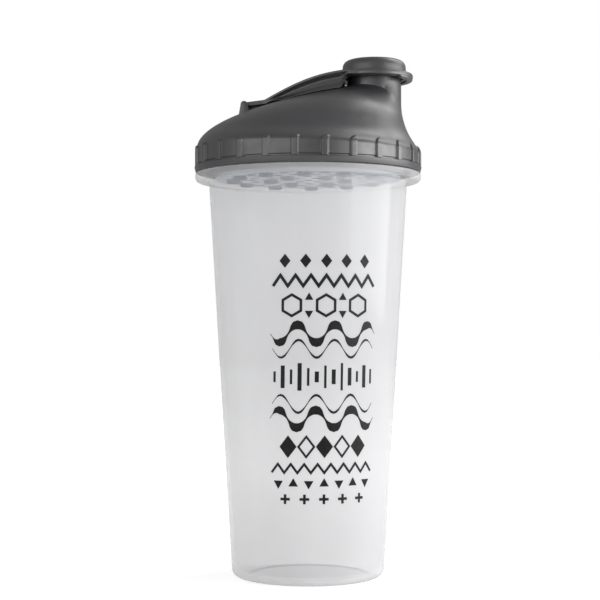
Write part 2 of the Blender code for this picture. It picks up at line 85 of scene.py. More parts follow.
# Cup
CUP_WALL = 1.6
CUP_FLOOR = 2.2
CUP_FLARE = 0.0590
NECK_HEIGHT = 9.0
NECK_WALL = 2.1
COLLAR_HEIGHT = 3.6
COLLAR_EDGE = 2.2
BASE_CORNER = 4.0
FOOT_RING = 3.0
FOOT_RECESS = 1.2
NECK_TOP = CUP_HIGH.z
COLLAR_TOP = NECK_TOP - NECK_HEIGHT
SHOULDER = COLLAR_TOP - COLLAR_HEIGHT
COLLAR_RADIUS = CUP_HIGH.x
NECK_OUTER = GASKET_HIGH.x
NECK_INNER = NECK_OUTER - NECK_WALL
NECK_LEDGE = 0.8
BODY_TOP = NECK_INNER + CUP_WALL - NECK_LEDGE
BODY_BASE = BODY_TOP - CUP_FLARE * SHOULDER

# Screw threads: the cup's stands out from its neck, the lid's stands in from its skirt just below it
CUP_THREAD_START = COLLAR_TOP + 2.3
CUP_THREAD_HEIGHT = 1.2
LID_THREAD_DROP = 2.3
LID_THREAD_HEIGHT = 1.25
THREAD_TURN = 350.0
LID_THREAD_TURN = 300.0
THREAD_CREST = 0.35
THREAD_ROOT = 1.0
THREAD_TAPER = 24.0
THREAD_ROW = 0.25
CUP_THREAD_FOOT = 0.8
CUP_THREAD_HEAD = 1.0

# Lid
LID_WALL = 2.2
SKIRT_BOTTOM = LID_LOW.z + 3 * FIT_GAP
GRIP_RADIUS = LID_HIGH.x
GRIP_RELIEF = 1.0
SKIRT_OUTER = GRIP_RADIUS - GRIP_RELIEF
SKIRT_INNER = SKIRT_OUTER - LID_WALL
BAND_HEIGHT = 2.5
BAND_LEAN = 0.6
BAND_TOP = SKIRT_BOTTOM + BAND_HEIGHT
GROOVE_HEIGHT = 0.75
GROOVE_DEPTH = 0.35
PANEL_LOW = BAND_TOP + GROOVE_HEIGHT
PANEL_START = PANEL_LOW + 0.8
PANEL_ROWS = 18
RIB_COUNT = 25
RIB_HALF_WIDTH = 1.45
RIB_FLANK = 0.3
RIB_STAND = 0.95
RIB_TOP = SKIRT_BOTTOM + 10.9
CEILING = GASKET_HIGH.z + FIT_GAP
CEILING_CHAMFER = 1.3
CEILING_STEP = 1.6
SKIRT_EDGE = 1.5
LID_THREAD_ZONE = (1.7, 5.8)
LID_THREAD_TOP = 6.0
HOLDER_OUTER = NECK_INNER - 1.05
HOLDER_RADIUS = HOLDER_OUTER - 1.7
HOLDER_CROWN = 3.0
HOLDER_BOTTOM = LID_LOW.z

# The lid's dome: each pair gives a value at the spout's side and at the hinge's side
DOME_RISE = 36.8
FLANK_SWELL = 2.7
SWELL_EASE = 0.3
SHOULDER_HEIGHT = (7.4, 9.9)
SHOULDER_HANDLE = (5.0, 9.5)
CREASE_HANDLE = (0.42 * DOME_RISE, 48.0)
CREASE_SLOPE = (90.0, 12.4)
CREASE_DROP = 6.0
DROP_POWER = 3.0
SLOPE_POWER = 1.7
HANDLE_POWER = 2.0
CREASE_HEIGHT = SKIRT_BOTTOM + DOME_RISE
SHOULDER_PART = 0.2
SHOULDER_ROWS = 24
DOME_ROWS = 40
INNER_ROWS = 20

# Spout and hinge ears
SPOUT_RADIUS = 11.6
SPOUT_OFFSET = SKIRT_OUTER - 7.75 - SPOUT_RADIUS
SPOUT_DRAFT = 0.5
SPOUT_TOP = LID_HIGH.z
BORE_RADIUS = SPOUT_RADIUS - 1.9
EAR_RADIUS = 1.5
EAR_SPREAD = 0.8
EAR_DEPTH = 4.7
EAR_THICKNESS = 2.0
EAR_SKIN = 0.6
EAR_EDGE = 0.35
EAR_SOFT_PART = 0.3
EAR_STEPS = 24
PIN_RADIUS = 0.6

# Flip cap
ARM_THICKNESS = 1.9
ARM_ROOT_HALF_WIDTH = 9.0
ARM_END_SHARE = 0.93
ARM_ROOT_LENGTH = 8.4
ARM_ROOT_SLOPE = 0.12
ARM_SPREAD_POWER = 2.6
ARM_WALL = 1.5
ARM_WALL_DEPTH = 8.0
ARM_WALL_DRAFT = 0.4
ARM_WALL_GAP = 0.2
ARM_LIP_HEIGHT = 0.9
ARM_UNDERCUT = 2.0
ARM_WALL_RUN_IN = 7.0
ARM_WALL_RUN_OUT = 4.0
ARM_WALL_STOP = 11.2
ARM_WALL_LEAST = 0.02
ARM_WALL_STEP = 0.05
ARM_ROOT_STEPS = 6
ARM_ARCH_STEPS = 48
ARM_LAND_STEPS = 8
DOME_FANS = 300
DOME_STEPS = 240
ARCH_START = (0.34, 0.50)
ARCH_END = (0.40, 0.13)
BARREL_RADIUS = 1.5
FLANGE_RADIUS = 16.6
FLANGE_THICKNESS = 2.2
FLANGE_EDGE = 0.9
CAP_GAP = 0.7
CAP_WALL = 1.4
CAP_HEIGHT = 5.8
CAP_CORNER = 4.6
CAP_DRAFT = 0.3
CAP_CROWN = 0.2
GROOVE_CORNER = 2.4
PLUG_DEPTH = 2.8
PLUG_WALL = 1.4
PLUG_TAPER = 0.7
PLUG_GAP = 0.4
LIP_WIDTH = 2.8
LIP_DROP = 0.9
LIP_SPREAD = 52.0
LIP_END_PART = 0.35
LIP_EASE = 6.0
LIP_STEPS = 48
CAP_INNER = SPOUT_RADIUS + CAP_GAP
CAP_OUTER = CAP_INNER + CAP_WALL
FLANGE_BOTTOM = SPOUT_TOP - PLUG_DEPTH - CAP_GAP
FLANGE_TOP = FLANGE_BOTTOM + FLANGE_THICKNESS
CAP_TOP = FLANGE_TOP + CAP_HEIGHT

# Strainer
STRAINER_THICKNESS = 1.6
STRAINER_TOP = STRAINER_LOW.z + STRAINER_THICKNESS
STRAINER_RIM_WALL = 1.4
STRAINER_FLANGE = 1.0
STRAINER_LAND = 0.6
STRAINER_RIM = STRAINER_HIGH.x - STRAINER_FLANGE
HOLE_RADIUS = 2.0
HOLE_CHAMFER = 0.25
HOLE_RINGS = 4
HOLES_PER_RING = 6
HOLE_MARGIN = 3.2
HOLE_STEPS = 24
HOLE_COLLAR_RINGS = (2, 4)
HOLE_COLLAR_REACH = 3.0
HOLE_COLLAR_HANG = 1.3
HOLE_COLLAR_DRAFT = 0.1
HOLE_COLLAR_EDGE = 0.2

# Print: a generic geometric design in dark ink, in rows about its own middle
PRINT_ANGLE = math.radians(-76.4)
PRINT_MIDDLE = 85.3
INK_LOW = 0.012
INK_HIGH = 0.05
INK_STEP = 1.2
INK_THINNEST = 0.25
INK_TAPER = 9.0
PATCH_PARTS = (0.4, 0.7, 1.0)
WAVE_LAPS = 3
WAVE_STEPS = 16
BAR_HALF_HEIGHTS = (2.2, 4.6, 3.0, 5.6, 3.6)
BAR_WIDTHS = (1.0, 1.7)

# Camera: a level view of the 600-pixel frame, with the horizon below the frame's middle
FRAME_PIXELS = 600.0
CAMERA_DISTANCE = 653.6
CAMERA_HEIGHT = 104.1
CAMERA_TURN = 2.8
LENS = 91.2
SENSOR = 36.0
CLIP_START = 0.01
AXIS_PIXEL = 308.0
HORIZON_PIXEL = 333.0

# Floor: the white that the camera sees on it besides the light that falls on it.
# It grows from near the bottle to far off, over these distances in metres.
FLOOR_RADIUS = 4000.0
FLOOR_DROP = 0.1
FLOOR_GREY = 0.82
FLOOR_FADE = (0.10, 0.45)
FLOOR_LIFT = (0.60, 0.85)

# Light: the surroundings' level, then each softbox with its azimuth and elevation in degrees,
# its distance and its width and height in metres, and its power in watts
AMBIENT = 0.34
LIGHT_AIM = 0.13
SOFTBOXES = (
    ("key", 82.0, 6.0, 1.2, (1.25, 0.45), 8.8),
    ("rim", 115.0, 46.0, 1.2, (0.90, 0.85), 6.0),
    ("strip", 52.0, 3.0, 1.4, (0.035, 0.45), 0.6),
    ("side_fill", 48.0, 7.0, 1.4, (0.55, 0.5), 1.9),
    ("front_fill", -42.0, 4.0, 1.8, (2.2, 1.0), 10.0),
)


def bezier(points, t):
    """Point at t on a cubic Bezier curve."""
    s = 1.0 - t
    weights = (s * s * s, 3 * s * s * t, 3 * s * t * t, t * t * t)
    total = Vector((0.0,) * len(points[0]))
    for weight, point in zip(weights, points):
        total += weight * Vector(point)
    return total


def smooth(x):
    """Smooth step from 0 to 1."""
    x = min(1.0, max(0.0, x))
    return x * x * (3.0 - 2.0 * x)


def around(count):
    """Evenly spaced angles about an axis."""
    return [2 * math.pi * step / count for step in range(count)]


def evenly(count, spread):
    """Places from -spread to spread."""
    return [spread * (2.0 * step / (count - 1) - 1.0) for step in range(count)]


def on_circle(radius, angle, height, axis_x=0.0):
    """Point at a radius and an angle about an upright axis."""
    return Vector((axis_x + radius * math.cos(angle), radius * math.sin(angle), height))


def rounded(corners, longest=8.0):
    """Outline of (radius, height) points through corners of (radius, height, fillet)."""
    outline = []
    for i, (x, z, fillet) in enumerate(corners):
        here = Vector((x, z))
        if fillet == 0.0 or i in (0, len(corners) - 1):
            outline.append(here)
            continue
        back = Vector(corners[i - 1][:2]) - here
        ahead = Vector(corners[i + 1][:2]) - here
        half = back.angle(ahead) / 2
        reach = min(fillet / math.tan(half), 0.49 * back.length, 0.49 * ahead.length)
        start = here + back.normalized() * reach
        end = here + ahead.normalized() * reach
        centre = here + (back.normalized() + ahead.normalized()).normalized() * reach / math.cos(half)
        sweep = (end - centre).angle_signed(start - centre)
        for step in range(CORNER_STEPS + 1):
            turn = Matrix.Rotation(sweep * step / CORNER_STEPS, 2)
            outline.append(centre + turn @ (start - centre))
    filled = [outline[0]]
    for point in outline[1:]:
        run = point - filled[-1]
        pieces = max(1, math.ceil(run.length / longest))
        start = filled[-1]
        filled += [start + run * step / pieces for step in range(1, pieces + 1)]
    return filled


def shaded(name, mesh):
    """Object for a mesh, shaded smooth up to its sharp edges."""
    mesh.shade_smooth()
    mesh.set_sharp_from_angle(angle=math.radians(SHARP_ANGLE))
    item = bpy.data.objects.new(name, mesh)
    bpy.context.scene.collection.objects.link(item)
    return item


def finished(name, maker):
    """Object from a bmesh in millimetres, with its faces turned outwards."""
    bmesh.ops.scale(maker, vec=(MM, MM, MM), verts=maker.verts)
    bmesh.ops.recalc_face_normals(maker, faces=maker.faces)
    mesh = bpy.data.meshes.new(name)
    maker.to_mesh(mesh)
    maker.free()
    return shaded(name, mesh)


def skin(name, rows, loop=False, ends=False):
    """Skin between rows of points. A row of one point closes the skin there."""
    maker = bmesh.new()
    made = [[maker.verts.new(point) for point in row] for row in rows]
    pairs = list(zip(made, made[1:]))
    if loop:
        pairs.append((made[-1], made[0]))
    for row, other in pairs:
        count = max(len(row), len(other))
        for i in range(count):
            j = (i + 1) % count
            if len(row) == 1:
                maker.faces.new((row[0], other[j], other[i]))
            elif len(other) == 1:
                maker.faces.new((row[i], row[j], other[0]))
            else:
                maker.faces.new((row[i], row[j], other[j], other[i]))
    if ends:
        maker.faces.new(made[0])
        maker.faces.new(made[-1])
    return finished(name, maker)


def turned(name, outline, loop=False, columns=COLUMNS, axis_x=0.0, bulge=None):
    """Turn an outline about an upright axis. bulge(radius, height, angle) adds to the radius."""
    rows = []
    for radius, height in outline:
        if radius < 1e-6:
            rows.append([(axis_x, 0.0, height)])
            continue
        row = []
        for angle in around(columns):
            reach = radius + (bulge(radius, height, angle) if bulge else 0.0)
            row.append((axis_x + reach * math.cos(angle), reach * math.sin(angle), height))
        rows.append(row)
    return skin(name, rows, loop)


def combined(item, tools, operation):
    """Apply a Boolean with each tool in turn, and remove the tools."""
    for tool in tools:
        modifier = item.modifiers.new(tool.name, "BOOLEAN")
        modifier.operation = operation
        modifier.object = tool
    depsgraph = bpy.context.evaluated_depsgraph_get()
    mesh = bpy.data.meshes.new_from_object(item.evaluated_get(depsgraph))
    name = item.name
    for old in [item, *tools]:
        bpy.data.objects.remove(old, do_unlink=True)
    return shaded(name, mesh)


def thread_stand(height, angle, start, turn, stand):
    """How far a screw thread stands out at a height and an angle."""
    most = 0.0
    for lap in (0, 1):
        swept = math.degrees(angle) + 360.0 * lap
        if swept > turn:
            continue
        fade = smooth(swept / THREAD_TAPER) * smooth((turn - swept) / THREAD_TAPER)
        off = abs(height - start - LEAD * swept / 360.0)
        flank = 1.0 - smooth((off - THREAD_CREST) / (THREAD_ROOT - THREAD_CREST))
        most = max(most, stand * fade * flank)
    return most


def rows_between(low, high, step):
    """Heights from low to high, about a step apart."""
    count = max(1, round((high - low) / step))
    return [low + (high - low) * i / count for i in range(count + 1)]


def cup_thread(radius, height, angle):
    """How far the cup's thread stands out of its neck at a place on the turned profile."""
    if abs(radius - NECK_OUTER) > 1e-4 or not COLLAR_TOP < height < NECK_TOP:
        return 0.0
    return thread_stand(height, angle, CUP_THREAD_START, THREAD_TURN, CUP_THREAD_HEIGHT)


def mark_inside(cup):
    """Give the cup's inner faces the second of its materials."""
    for face in cup.data.polygons:
        x, y, height = face.center / MM
        middle = BODY_BASE + CUP_FLARE * height - CUP_WALL / 2
        if height > SHOULDER:
            middle = NECK_OUTER - NECK_WALL / 2
        inside = math.hypot(x, y) < middle and height > FOOT_RECESS + CUP_FLOOR / 2
        face.material_index = 1 if inside else 0


def make_cup():
    """Tapered tumbler with a threaded neck, a rolled collar and a recessed foot."""
    floor = FOOT_RECESS + CUP_FLOOR
    recess = BODY_BASE - BASE_CORNER - FOOT_RING
    corners = [
        (0.0, floor, 0.0),
        (BODY_BASE + CUP_FLARE * floor - CUP_WALL, floor, BASE_CORNER - CUP_WALL / 2),
        (BODY_TOP - CUP_WALL, SHOULDER, 1.0),
        (NECK_INNER, COLLAR_TOP, 1.0),
        (NECK_INNER, NECK_TOP, 0.7),
        (NECK_OUTER, NECK_TOP, 0.7),
    ]
    thread_rows = rows_between(COLLAR_TOP + CUP_THREAD_FOOT, NECK_TOP - CUP_THREAD_HEAD, THREAD_ROW)
    corners += [(NECK_OUTER, height, 0.0) for height in reversed(thread_rows)]
    corners += [
        (NECK_OUTER, COLLAR_TOP, 0.6),
        (COLLAR_RADIUS, COLLAR_TOP, 0.5),
        (COLLAR_RADIUS, SHOULDER, COLLAR_EDGE),
        (BODY_TOP, SHOULDER, 0.9),
        (BODY_BASE, 0.0, BASE_CORNER),
        (recess, 0.0, 0.5),
        (recess - FOOT_RECESS, FOOT_RECESS, 0.6),
        (0.0, FOOT_RECESS, 0.0),
    ]
    cup = turned("cup_shell", rounded(corners), bulge=cup_thread)
    mark_inside(cup)
    return cup


def share(angle, power=1.0):
    """Weight of the spout's side at an angle about the axis: 1 towards the spout, 0 towards the hinge."""
    return ((1.0 + math.cos(angle)) / 2) ** power


def mix(pair, weight):
    """Value between the hinge's side and the spout's side."""
    return pair[0] * weight + pair[1] * (1.0 - weight)


def crease_point(angle, radius, lower=0.0):
    """Point where the dome meets the spout's wall, or its bore."""
    height = CREASE_HEIGHT - CREASE_DROP * share(angle, DROP_POWER) - lower
    return Vector((SPOUT_OFFSET + radius * math.cos(angle), radius * math.sin(angle), height))


def meridian(angle, start, handle, end, lowest):
    """Control points of one meridian, upright at the shoulder and leaning in at the crease."""
    slope = math.radians(mix(CREASE_SLOPE, share(angle, SLOPE_POWER)))
    reach = mix(CREASE_HANDLE, 1.0 - (1.0 - share(angle)) ** HANDLE_POWER)
    reach = min(reach, (end.z - lowest) / math.sin(slope))
    inward = Vector((-math.cos(angle), -math.sin(angle), 0.0))
    lean = inward * math.cos(slope) + Vector((0.0, 0.0, math.sin(slope)))
    return (start, start + Vector((0.0, 0.0, handle)), end - lean * reach, end)


def shoulder_height(angle):
    """Height at which the skirt's wall turns into the dome."""
    return SKIRT_BOTTOM + mix(SHOULDER_HEIGHT, share(angle))


def outer_meridian(angle):
    """Meridian of the dome's outer face."""
    start = Vector((SKIRT_OUTER * math.cos(angle), SKIRT_OUTER * math.sin(angle), shoulder_height(angle)))
    end = crease_point(angle, SPOUT_RADIUS)
    return meridian(angle, start, mix(SHOULDER_HANDLE, share(angle)), end, CEILING + LID_WALL)


def inner_meridian(angle):
    """Meridian of the dome's inner face, which springs from the strainer's holder."""
    height = CEILING + HOLDER_CROWN
    start = Vector((HOLDER_RADIUS * math.cos(angle), HOLDER_RADIUS * math.sin(angle), height))
    handle = mix(SHOULDER_HANDLE, share(angle)) / 2
    return meridian(angle, start, handle, crease_point(angle, BORE_RADIUS, LID_WALL), CEILING)


def dome_point(side, angle, t):
    """Point on a dome's face, waisted below and full above on its flanks."""
    outward = Vector((math.cos(angle), math.sin(angle), 0.0))
    ease = smooth(t / SWELL_EASE) * smooth((1.0 - t) / SWELL_EASE)
    swell = -FLANK_SWELL * ease * math.sin(2 * math.pi * t) * math.sin(angle) ** 2
    return bezier(side(angle), t) + outward * swell


def rib_share(angle, height):
    """How much of a grip rib stands at an angle and a height: 1 on its face, 0 beside it."""
    pitch = 2 * math.pi / RIB_COUNT
    off = (angle - math.pi + pitch / 2) % pitch - pitch / 2
    aside = off * GRIP_RADIUS
    above = max(0.0, height - (RIB_TOP - RIB_HALF_WIDTH))
    edge = math.hypot(aside, above) - RIB_HALF_WIDTH
    return 1.0 - smooth((edge + RIB_FLANK) / (2 * RIB_FLANK))


def lid_angles():
    """Angles about the lid, close together at the flanks of every rib."""
    pitch = 360.0 / RIB_COUNT
    flank = math.degrees(RIB_HALF_WIDTH / GRIP_RADIUS)
    fine = math.degrees(RIB_FLANK / GRIP_RADIUS)
    half = [0.45 * flank]
    half += [flank + fine * step for step in (-1.1, -0.7, -0.35, 0.0, 0.35, 0.7, 1.1, 1.9)]
    half += [flank + (pitch / 2 - flank) * part for part in (0.35, 0.6, 0.8)]
    offsets = [-value for value in reversed(half)] + [0.0] + half + [pitch / 2]
    angles = []
    for step in range(RIB_COUNT):
        centre = 180.0 + pitch * step
        angles += [math.radians(centre + offset) for offset in offsets]
    return angles


def raised(point, angle):
    """Point on the lid's outer face, moved out by the grip rib that stands there."""
    return point + on_circle(RIB_STAND * rib_share(angle, point.z), angle, 0.0)


def skirt_edge_rows(angles):
    """Rows round the skirt's foot, its band and the groove above it, up to the ribbed panel."""
    groove = SKIRT_OUTER - GROOVE_DEPTH
    edge = rounded([
        (SKIRT_INNER, SKIRT_BOTTOM + SKIRT_EDGE, 0.0),
        (SKIRT_INNER, SKIRT_BOTTOM, 0.4),
        (GRIP_RADIUS - BAND_LEAN, SKIRT_BOTTOM, 0.4),
        (GRIP_RADIUS, BAND_TOP, 0.3),
        (groove, BAND_TOP + 0.1, 0.1),
        (groove, PANEL_LOW, 0.15),
        (SKIRT_OUTER, PANEL_LOW + 0.2, 0.2),
        (SKIRT_OUTER, PANEL_START, 0.0),
    ], longest=1.0)
    rows = []
    for radius, height in edge:
        ribbed = height > BAND_TOP and radius < SKIRT_OUTER + GRIP_RELIEF / 2
        stand = SKIRT_OUTER + RIB_STAND - radius if ribbed else 0.0
        rows.append([on_circle(radius + rib_share(a, height) * stand, a, height) for a in angles])
    return rows


def panel_rows(angles):
    """Rows up the ribbed panel, from the groove to where the wall turns into the dome."""
    rows = []
    for step in range(1, PANEL_ROWS + 1):
        row = []
        for angle in angles:
            height = PANEL_START + (shoulder_height(angle) - PANEL_START) * step / PANEL_ROWS
            row.append(raised(on_circle(SKIRT_OUTER, angle, height), angle))
        rows.append(row)
    return rows


def dome_rows(angles):
    """Rows up the dome's outer face, close together near the shoulder where the ribs die out."""
    parts = [SHOULDER_PART * step / SHOULDER_ROWS for step in range(1, SHOULDER_ROWS + 1)]
    parts += [SHOULDER_PART + (1.0 - SHOULDER_PART) * step / DOME_ROWS for step in range(1, DOME_ROWS + 1)]
    return [[raised(dome_point(outer_meridian, a, t), a) for a in angles] for t in parts]


def spout_rows(angles):
    """Rows up the spout's wall, over its rim and down its bore."""
    rim = rounded([
        (SPOUT_RADIUS, CREASE_HEIGHT + FIT_GAP, 0.0),
        (SPOUT_RADIUS - SPOUT_DRAFT, SPOUT_TOP, 0.6),
        (BORE_RADIUS, SPOUT_TOP, 0.5),
        (BORE_RADIUS, CREASE_HEIGHT - LID_WALL + FIT_GAP, 0.0),
    ], longest=1.5)
    return [[on_circle(radius, a, height, SPOUT_OFFSET) for a in angles] for radius, height in rim]


def inside_rows(angles):
    """Rows down the dome's inner face, round the strainer's holder and out along the ceiling."""
    parts = [step / INNER_ROWS for step in range(INNER_ROWS, -1, -1)]
    rows = [[dome_point(inner_meridian, a, t) for a in angles] for t in parts]
    under = rounded([
        (HOLDER_RADIUS, CEILING, 0.0),
        (HOLDER_RADIUS, HOLDER_BOTTOM, 0.5),
        (HOLDER_OUTER, HOLDER_BOTTOM, 0.5),
        (HOLDER_OUTER, CEILING, 0.4),
        (SKIRT_INNER - CEILING_CHAMFER, CEILING, 0.6),
        (SKIRT_INNER, CEILING - CEILING_STEP - 2 * CEILING_CHAMFER, 0.8),
        (SKIRT_INNER, SKIRT_BOTTOM + LID_THREAD_TOP, 0.0),
    ], longest=3.0)
    rows += [[on_circle(radius, a, height) for a in angles] for radius, height in under]
    return rows


def lid_thread_rows(angles):
    """Rows down the skirt's inner wall, where the thread stands in from it."""
    start = CUP_THREAD_START - LID_THREAD_DROP
    low, high = LID_THREAD_ZONE
    rows = []
    for height in reversed(rows_between(SKIRT_BOTTOM + low, SKIRT_BOTTOM + high, THREAD_ROW)):
        row = []
        for angle in angles:
            swept = angle % (2 * math.pi)
            stand = thread_stand(height, swept, start, LID_THREAD_TURN, LID_THREAD_HEIGHT)
            row.append(on_circle(SKIRT_INNER - stand, angle, height))
        rows.append(row)
    return rows


def make_lid_shell():
    """Skirt with grip ribs, dome, spout, strainer holder and thread, as one closed skin."""
    angles = lid_angles()
    rows = skirt_edge_rows(angles) + panel_rows(angles) + dome_rows(angles)
    rows += spout_rows(angles) + inside_rows(angles) + lid_thread_rows(angles)
    return skin("lid_shell", rows, loop=True)


def rod(name, radius, length, x, z, steps=32, edge=0.0):
    """Round rod along Y through (x, z), with eased ends."""
    stations = [(-length / 2, radius - edge), (-length / 2 + edge, radius)]
    stations += [(length / 2 - edge, radius), (length / 2, radius - edge)]
    rows = []
    for y, reach in stations:
        rows.append([(x + reach * math.cos(a), y, z + reach * math.sin(a)) for a in around(steps)])
    return skin(name, rows, ends=True)


def ear_outline(y, inset):
    """One level of an ear's plate: straight sides up from its foot and a round top."""
    foot = HINGE.z - EAR_DEPTH
    spread = EAR_RADIUS + EAR_SPREAD - inset
    reach = EAR_RADIUS - inset
    row = [(HINGE.x + spread, y, foot)]
    for step in range(EAR_STEPS + 1):
        angle = math.pi * step / EAR_STEPS
        row.append((HINGE.x + reach * math.cos(angle), y, HINGE.z + reach * math.sin(angle)))
    row.append((HINGE.x - spread, y, foot))
    return row


def make_ears():
    """The pair of hinge ears, each an upright plate with a round top and a blind socket."""
    inside = ARM_ROOT_HALF_WIDTH + FIT_GAP
    soft = EAR_EDGE * EAR_SOFT_PART
    stations = [(0.0, EAR_EDGE), (soft, soft), (EAR_EDGE, 0.0)]
    stations += [(EAR_THICKNESS - depth, inset) for depth, inset in reversed(stations)]
    ears = []
    for side in (-1.0, 1.0):
        rows = [ear_outline(side * (inside + depth), inset) for depth, inset in stations]
        ears.append(skin("hinge_ear", rows, ends=True))
    socket_length = 2 * (inside + EAR_THICKNESS - EAR_SKIN)
    socket = rod("socket", PIN_RADIUS + FIT_GAP, socket_length, HINGE.x, HINGE.z)
    first, second = ears
    pair = combined(first, [second], "UNION")
    pair = combined(pair, [socket], "DIFFERENCE")
    pair.name = "hinge_ears"
    return pair


def make_gasket():
    """Soft ring with rounded edges and a shallow sealing bead above and below."""
    inner = HOLDER_OUTER + FIT_GAP
    outer = GASKET_HIGH.x
    middle = (inner + outer) / 2
    low, high = GASKET_LOW.z, GASKET_HIGH.z
    outline = rounded([
        (inner, (low + high) / 2, 0.0),
        (inner, high - 0.1, 0.35),
        (middle - 0.7, high - 0.12, 0.3),
        (middle, high, 0.5),
        (middle + 0.7, high - 0.12, 0.3),
        (outer, high - 0.1, 0.35),
        (outer, low + 0.1, 0.35),
        (middle + 0.7, low + 0.12, 0.3),
        (middle, low, 0.5),
        (middle - 0.7, low + 0.12, 0.3),
        (inner, low + 0.1, 0.35),
    ])
    return turned("seal_ring", outline, loop=True)


def hole_places():
    """Centres of the strainer's holes, in rings, and whether each has a collar under it."""
    pitch = (STRAINER_RIM - STRAINER_RIM_WALL - HOLE_MARGIN - HOLE_RADIUS) / HOLE_RINGS
    places = [(Vector((0.0, 0.0)), False)]
    for ring in range(1, HOLE_RINGS + 1):
        for step, angle in enumerate(around(HOLES_PER_RING * ring)):
            centre = Vector((math.cos(angle), math.sin(angle))) * pitch * ring
            places.append((centre, ring in HOLE_COLLAR_RINGS and step % 2 == 0))
    return places


def hole_ring(centre, radius):
    """Points (x, y) round a hole, clockwise seen from above."""
    return [(centre.x + radius * math.cos(-a), centre.y + radius * math.sin(-a)) for a in around(HOLE_STEPS)]


def pierced_face(maker, height, radius, under):
    """Flat round face with the strainer's holes, or the collars' on its underside, added to a bmesh."""
    points = [(radius * math.cos(a), radius * math.sin(a)) for a in around(COLUMNS)]
    loops = [list(range(COLUMNS))]
    holes = []
    for centre, collar in hole_places():
        reach = HOLE_COLLAR_REACH if under and collar else HOLE_RADIUS + HOLE_CHAMFER
        holes.append((centre, reach))
        loops.append(list(range(len(points), len(points) + HOLE_STEPS)))
        points += hole_ring(centre, reach)
    result = delaunay_2d_cdt([Vector(p) for p in points], [], loops, 2, 1e-5)
    verts = [maker.verts.new((p.x, p.y, height)) for p in result[0]]
    for face in result[2]:
        middle = sum((result[0][i] for i in face), Vector((0.0, 0.0))) / len(face)
        if min((middle - centre).length / reach for centre, reach in holes) > 0.985:
            maker.faces.new([verts[i] for i in face])


def hole_sides(collar):
    """Profile of a hole as (radius, height) points going up, round the collar first where it has one."""
    low, top = STRAINER_LOW.z, STRAINER_TOP
    sides = [(HOLE_RADIUS + HOLE_CHAMFER, low), (HOLE_RADIUS, low + HOLE_CHAMFER)]
    if collar:
        foot = low - HOLE_COLLAR_HANG
        sides = [
            (HOLE_COLLAR_REACH, low),
            (HOLE_COLLAR_REACH - HOLE_COLLAR_DRAFT, foot + HOLE_COLLAR_EDGE),
            (HOLE_COLLAR_REACH - HOLE_CHAMFER, foot),
            (HOLE_RADIUS, foot),
        ]
    return sides + [(HOLE_RADIUS, top - HOLE_CHAMFER), (HOLE_RADIUS + HOLE_CHAMFER, top)]


def strainer_rim():
    """Profile of the strainer's rim and its small flange, from the upper face round to the lower one."""
    low, top, high = STRAINER_LOW.z, STRAINER_TOP, STRAINER_HIGH.z
    rim_inner = STRAINER_RIM - STRAINER_RIM_WALL
    return rounded([
        (rim_inner - STRAINER_LAND, top, 0.0),
        (rim_inner, top, 0.5),
        (rim_inner, high, 0.4),
        (STRAINER_RIM, high, 0.4),
        (STRAINER_RIM, top, 0.3),
        (STRAINER_HIGH.x, top, 0.3),
        (STRAINER_HIGH.x, low, 0.4),
        (STRAINER_HIGH.x - STRAINER_LAND, low, 0.0),
    ])


def mark_painted_hole_shade(maker):
    """Give the holes' bores and collars the second of the strainer's materials, a dark blue that paints the
    shade inside the holes.
    """
    reach = STRAINER_RIM - STRAINER_RIM_WALL - HOLE_MARGIN / 2
    low, top = STRAINER_LOW.z, STRAINER_TOP
    for face in maker.faces:
        middle = face.calc_center_median()
        inside = math.hypot(middle.x, middle.y) < reach
        upright = middle.z < low - 0.01 or low + 0.01 < middle.z < top - 0.01
        face.material_index = 1 if inside and upright else 0


def make_strainer():
    """Perforated disc with chamfered holes and a rim that pushes into the lid's holder."""
    rim_inner = STRAINER_RIM - STRAINER_RIM_WALL
    maker = bmesh.new()
    pierced_face(maker, STRAINER_LOW.z, STRAINER_HIGH.x - STRAINER_LAND, True)
    pierced_face(maker, STRAINER_TOP, rim_inner - STRAINER_LAND, False)
    tubes = [[[on_circle(radius, a, height) for a in around(COLUMNS)] for radius, height in strainer_rim()]]
    for centre, collar in hole_places():
        sides = hole_sides(collar)
        tubes.append([[(x, y, height) for x, y in hole_ring(centre, radius)] for radius, height in sides])
    for tube in tubes:
        rows = [[maker.verts.new(point) for point in row] for row in tube]
        for row, other in zip(rows, rows[1:]):
            for i in range(len(row)):
                j = (i + 1) % len(row)
                maker.faces.new((row[i], row[j], other[j], other[i]))
    bmesh.ops.remove_doubles(maker, verts=maker.verts, dist=0.001)
    mark_painted_hole_shade(maker)
    return finished("strainer_disc", maker)


def arm_top_line():
    """Points (x, z) along the arm's top: a short straight root, then an arch up to the flange."""
    root = Vector((HINGE.x, HINGE.z + BARREL_RADIUS - FIT_GAP))
    bend = root + Vector((ARM_ROOT_LENGTH, ARM_ROOT_LENGTH * ARM_ROOT_SLOPE))
    level = FLANGE_TOP - FIT_GAP / 2
    land = Vector((SPOUT_OFFSET - CAP_INNER, level))
    span = land - bend
    arch = (
        bend,
        bend + Vector((span.x * ARCH_START[0], span.y * ARCH_START[1])),
        land - Vector((span.x * ARCH_END[0], span.y * ARCH_END[1])),
        land,
    )
    end = Vector((SPOUT_OFFSET - CAP_GAP, level))
    points = [root.lerp(bend, step / ARM_ROOT_STEPS) for step in range(ARM_ROOT_STEPS)]
    points += [bezier(arch, step / ARM_ARCH_STEPS) for step in range(ARM_ARCH_STEPS + 1)]
    points += [land.lerp(end, step / ARM_LAND_STEPS) for step in range(1, ARM_LAND_STEPS + 1)]
    return points


